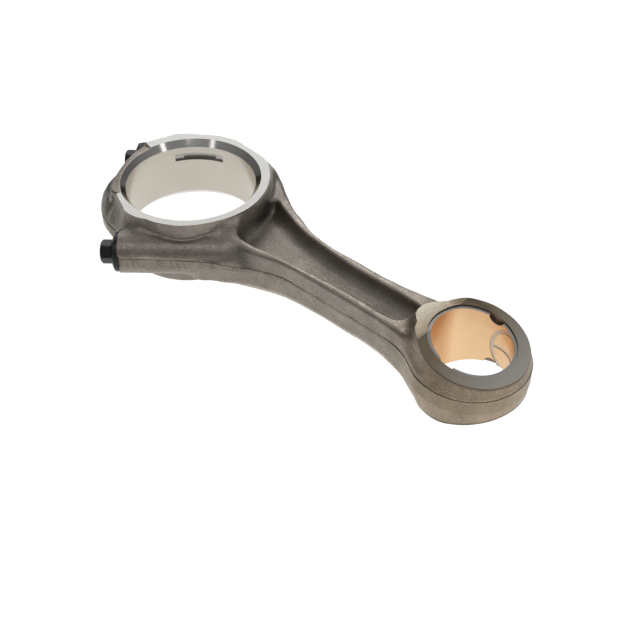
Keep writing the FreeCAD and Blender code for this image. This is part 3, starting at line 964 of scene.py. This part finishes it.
# ---------------------------------------------------------------- bolts
def thread_rows(angles):
    """(height, radius) rows of the rolled thread, its groove winding once round in each pitch."""
    per_pitch = 8
    rows = []
    for i in range(int(THREAD_LENGTH / THREAD_PITCH * per_pitch)):
        height = THREAD_FROM + i * THREAD_PITCH / per_pitch
        phase = (height / THREAD_PITCH - angles / (2 * math.pi)) % 1.0
        groove = np.clip(0.9 - np.abs(phase - 0.5) * 2.4, 0, 0.75)
        runs_in = min(1.0, i / per_pitch)
        rows.append((height, BOLT_RAD - 0.02 - groove * runs_in))
    return rows


def flange_bolt(name, side, body, node):
    """A hexagon flange bolt about +Z from its seat: head, flange, plain shank and thread in one skin."""
    turns = 96
    angles = np.arange(turns) * 2 * math.pi / turns
    sixth = math.pi / 3
    hexagon = HEX_HALF_FLAT / np.cos((angles - math.radians(HEX_TURN)) % sixth - sixth / 2)
    head = [
        (-HEAD_HIGH, 0.01),
        (-HEAD_HIGH, np.minimum(hexagon, 5.9)),
        (-HEAD_HIGH + 0.4, np.minimum(hexagon, 6.45)),
        (-HEAD_HIGH + 0.8, np.minimum(hexagon, 7.0)),
        (-HEAD_HIGH + 1.2, hexagon),
        (-4.9, hexagon),
        (-4.5, hexagon + 0.3),
    ]
    flange = [(-4.2, 8.6), (-2.7, 11.7), (-2.3, FLANGE_RAD), (-0.2, FLANGE_RAD), (0.0, 11.8), (0.0, 6.4)]
    shank = [(0.5, BOLT_RAD), (30.0, BOLT_RAD)]
    tip = [(58.2, 4.8), (60.0, 4.2), (60.0, 0.01)]
    rows = head + flange + shank + thread_rows(angles) + tip
    vertices = np.concatenate(
        [np.column_stack([r * np.cos(angles), r * np.sin(angles), np.full(turns, h)]) for h, r in rows]
    )
    faces = []
    for row in range(len(rows) - 1):
        faces += band_faces(row * turns, (row + 1) * turns, turns)
    faces += [tuple(reversed(range(turns))), tuple(range(len(vertices) - turns, len(vertices)))]
    bolt = make_object(name, vertices, faces)
    laid_at_bolt(bolt, side)
    bolt.data.materials.clear()
    bolt.data.materials.append(materials["bolt"])
    bolt.data.polygons.foreach_set("material_index", [0] * len(bolt.data.polygons))
    crisp(bolt, 25)
    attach(bolt, body)
    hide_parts(node)


# ---------------------------------------------------------------- bush
def bush_layer(name, node, outer, inner, finish):
    """One layer of the bush: its ends follow the eye's taper, with a half-round notch at each side."""
    top = HALF_WIDTH - BUSH_SHORT
    layer = turned(name, [(0, -top), (outer, -top), (outer, top), (0, top)], ["forged"] * 3, (EYE_X, 0))
    for below in (False, True):
        cut_at_face(layer, taper_cutter(top, 40, "forged"), below)
    for below in (False, True):
        cut_at_face(layer, bush_notch(), below)
    bore = turned("bore", [(0, -30), (inner, -30), (inner, 30), (0, 30)], ["land"] * 3, (EYE_X, 0))
    cut(layer, bore)
    if finish == "lining":
        for groove in oil_groove(inner):
            cut(layer, groove)
    finish_bush(layer, finish)
    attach(layer, "rod")
    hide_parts(node)


def bush_notch():
    """A bar across the bush's top end that leaves the half-round notches."""
    level = HALF_WIDTH - TAPER_SLOPE * (EYE_X - TAPER_START)
    profile = [(0, -40), (NOTCH_RAD, -40), (NOTCH_RAD, 40), (0, 40)]
    notch = turned("notch", profile, ["forged"] * 3, segments=48)
    lay = Matrix.Rotation(math.radians(90), 4, "X")
    notch.data.transform(Matrix.Translation((EYE_X * MM, 0, (level + 0.6) * MM)) @ lay)
    return notch


def finish_bush(layer, finish):
    """Steel outside, the layer's own finish on the bore, which was cut as land, and one for the grooves."""
    slots = np.zeros(len(layer.data.polygons), np.int32)
    layer.data.polygons.foreach_get("material_index", slots)
    on_bore = slots == SKINS.index("land")
    in_groove = slots == SKINS.index("drilled")
    layer.data.materials.clear()
    for skin in ("backing", finish, "groove"):
        layer.data.materials.append(materials[skin])
    layer.data.polygons.foreach_set("material_index", np.where(in_groove, 2, on_bore).astype(np.int32))
    crisp(layer)


def oil_groove(bore):
    """Tools that plough the oil groove into the lining: an oval round its far side and a strand across it."""
    middle, half_turn = 53.0, 40.0
    centre, half_height = -1.6, 14.9
    oval = []
    for t in np.linspace(0, 2 * math.pi, 96, endpoint=False):
        across = np.sign(math.cos(t)) * abs(math.cos(t)) ** 0.85
        oval.append((middle + half_turn * across, centre + half_height * math.sin(t)))
    strand = []
    for t in np.linspace(-1, 1, 40):
        strand.append((middle + half_turn * t, centre - 1.0 + 1.6 * math.cos(t * math.pi / 2)))
    return [plough("groove_oval", oval, bore, 2.6, True), plough("groove_strand", strand, bore, 2.1, False)]


def plough(name, path, bore, width, closed):
    """A rectangular bar that follows a path of (azimuth, height) on the bore's wall."""
    points = np.array([(math.radians(a) * bore, h) for a, h in path])
    if closed:
        ahead = np.roll(points, -1, 0) - np.roll(points, 1, 0)
    else:
        ahead = np.gradient(points, axis=0)
    side = np.stack([-ahead[:, 1], ahead[:, 0]], 1) / np.linalg.norm(ahead, axis=1)[:, None] * width / 2
    rings = []
    within, below = bore - 1, bore + GROOVE_DEPTH
    edges = [(points + side, within), (points - side, within), (points - side, below), (points + side, below)]
    for edge, radius in edges:
        angle = edge[:, 0] / bore
        rings.append(np.column_stack([EYE_X + radius * np.cos(angle), radius * np.sin(angle), edge[:, 1]]))
    count = len(points)
    vertices = np.concatenate(rings)
    faces = []
    for corner in range(4):
        band = band_faces(corner * count, (corner + 1) % 4 * count, count)
        faces += band if closed else band[:-1]
    if not closed:
        faces.append(tuple(corner * count for corner in range(4)))
        faces.append(tuple(corner * count + count - 1 for corner in reversed(range(4))))
    return make_object(name, vertices, faces, "drilled")


rod_and_cap()
flange_bolt("flange_bolt_near", -1, "near_bolt", "cap_bolt_near")
flange_bolt("flange_bolt_far", 1, "far_bolt", "cap_bolt_far")
bush_layer("bush_outer", "bush_backing", EYE_BORE, LINING_OUTER, "backing")
bush_layer("bush_inner", "bush_lining", LINING_OUTER, LINING_BORE, "lining")


# ---------------------------------------------------------------- stage
def softbox(name, azimuth, elevation, distance, size, radiance):
    """A panel of even radiance that faces the object from a direction given in degrees."""
    a, e = math.radians(azimuth), math.radians(elevation)
    back = Vector((math.cos(a) * math.cos(e), math.sin(a) * math.cos(e), math.sin(e)))
    lamp = bpy.data.lights.new(name, "AREA")
    lamp.shape = "RECTANGLE"
    lamp.size, lamp.size_y = size
    lamp.energy = radiance * math.pi * size[0] * size[1]
    thing = bpy.data.objects.new(name, lamp)
    thing.location = Vector((0.09, 0, 0)) + back * distance
    thing.rotation_euler = back.to_track_quat("Z", "Y").to_euler()
    bpy.context.scene.collection.objects.link(thing)


def floor():
    """A pale floor that glows evenly in the picture, and less on the camera's side of the part."""
    underside = cad_box[0][2]
    bpy.ops.mesh.primitive_plane_add(size=30, location=(0.1, 0, underside - 0.09))
    plane = bpy.context.object
    plane.name = "floor"
    material, tree, shader = new_material("pale_floor")
    place = add_node(tree, "ShaderNodeTexCoord").outputs["Object"]
    to_camera = add_node(
        tree, "ShaderNodeVectorMath", {0: place, 1: (-0.6, -0.8, 0.0)}, operation="DOT_PRODUCT"
    ).outputs["Value"]
    sideways = add_node(tree, "ShaderNodeSeparateXYZ", {"Vector": place}).outputs["X"]
    near = fade(tree, to_camera, 0.22, 0.5, 0.76, 0.3)
    right = fade(tree, sideways, 0.20, 0.36, 1.0, 1.45)
    tree.links.new(calc(tree, "MULTIPLY", near, right), shader.inputs["Emission Strength"])
    shader.inputs["Emission Color"].default_value = (1.0, 0.99, 0.975, 1)
    shader.inputs["Base Color"].default_value = (0.6, 0.6, 0.6, 1)
    shader.inputs["Roughness"].default_value = 0.9
    shader.inputs["Specular IOR Level"].default_value = 0.1
    plane.data.materials.append(material)


def lights():
    """Softboxes, each placed so that one group of faces reflects it to the camera."""
    softbox("back_left", 144, 30, 1.7, (1.35, 0.78), 2.0)
    softbox("back_high", 134, 58, 1.6, (0.7, 0.5), 0.8)
    softbox("overhead", 74, 50, 1.6, (0.85, 0.5), 0.5)
    softbox("right", 16, 14, 1.7, (1.0, 0.7), 1.6)
    softbox("front_high", 296, 61, 1.6, (0.7, 0.38), 2.4)
    softbox("front_strip", 267, 42, 1.6, (0.14, 0.4), 1.6)
    softbox("right_strip", 6, 43, 1.6, (0.16, 0.4), 1.9)


def room():
    """A dim grey room, lighter overhead."""
    world = bpy.data.worlds.new("studio")
    world.use_nodes = True
    bpy.context.scene.world = world
    tree = world.node_tree
    direction = add_node(tree, "ShaderNodeTexCoord").outputs["Generated"]
    height = add_node(tree, "ShaderNodeSeparateXYZ", {"Vector": direction}).outputs["Z"]
    stops = [(0.0, (0.16,) * 3), (0.35, (0.18,) * 3), (0.7, (0.32,) * 3), (1.0, (0.42,) * 3)]
    tree.links.new(ramp(tree, height, stops), tree.nodes["Background"].inputs["Color"])
    tree.nodes["Background"].inputs["Strength"].default_value = 1.0
    bpy.context.scene.view_settings.view_transform = "Standard"


def camera():
    """The photo's place and lens, from a camera fitted to the photo."""
    lens = bpy.data.cameras.new("camera")
    lens.sensor_width = 36.0
    lens.lens = 63.79
    lens.clip_start = 0.01
    lens.clip_end = 50
    thing = bpy.data.objects.new("camera", lens)
    thing.location = (0.44683, -0.38212, 0.42854)
    look = Vector((-0.49226, 0.55466, -0.67085))
    thing.rotation_euler = look.to_track_quat("-Z", "Y").to_euler()
    bpy.context.scene.collection.objects.link(thing)
    bpy.context.scene.camera = thing


floor()
lights()
room()
camera()
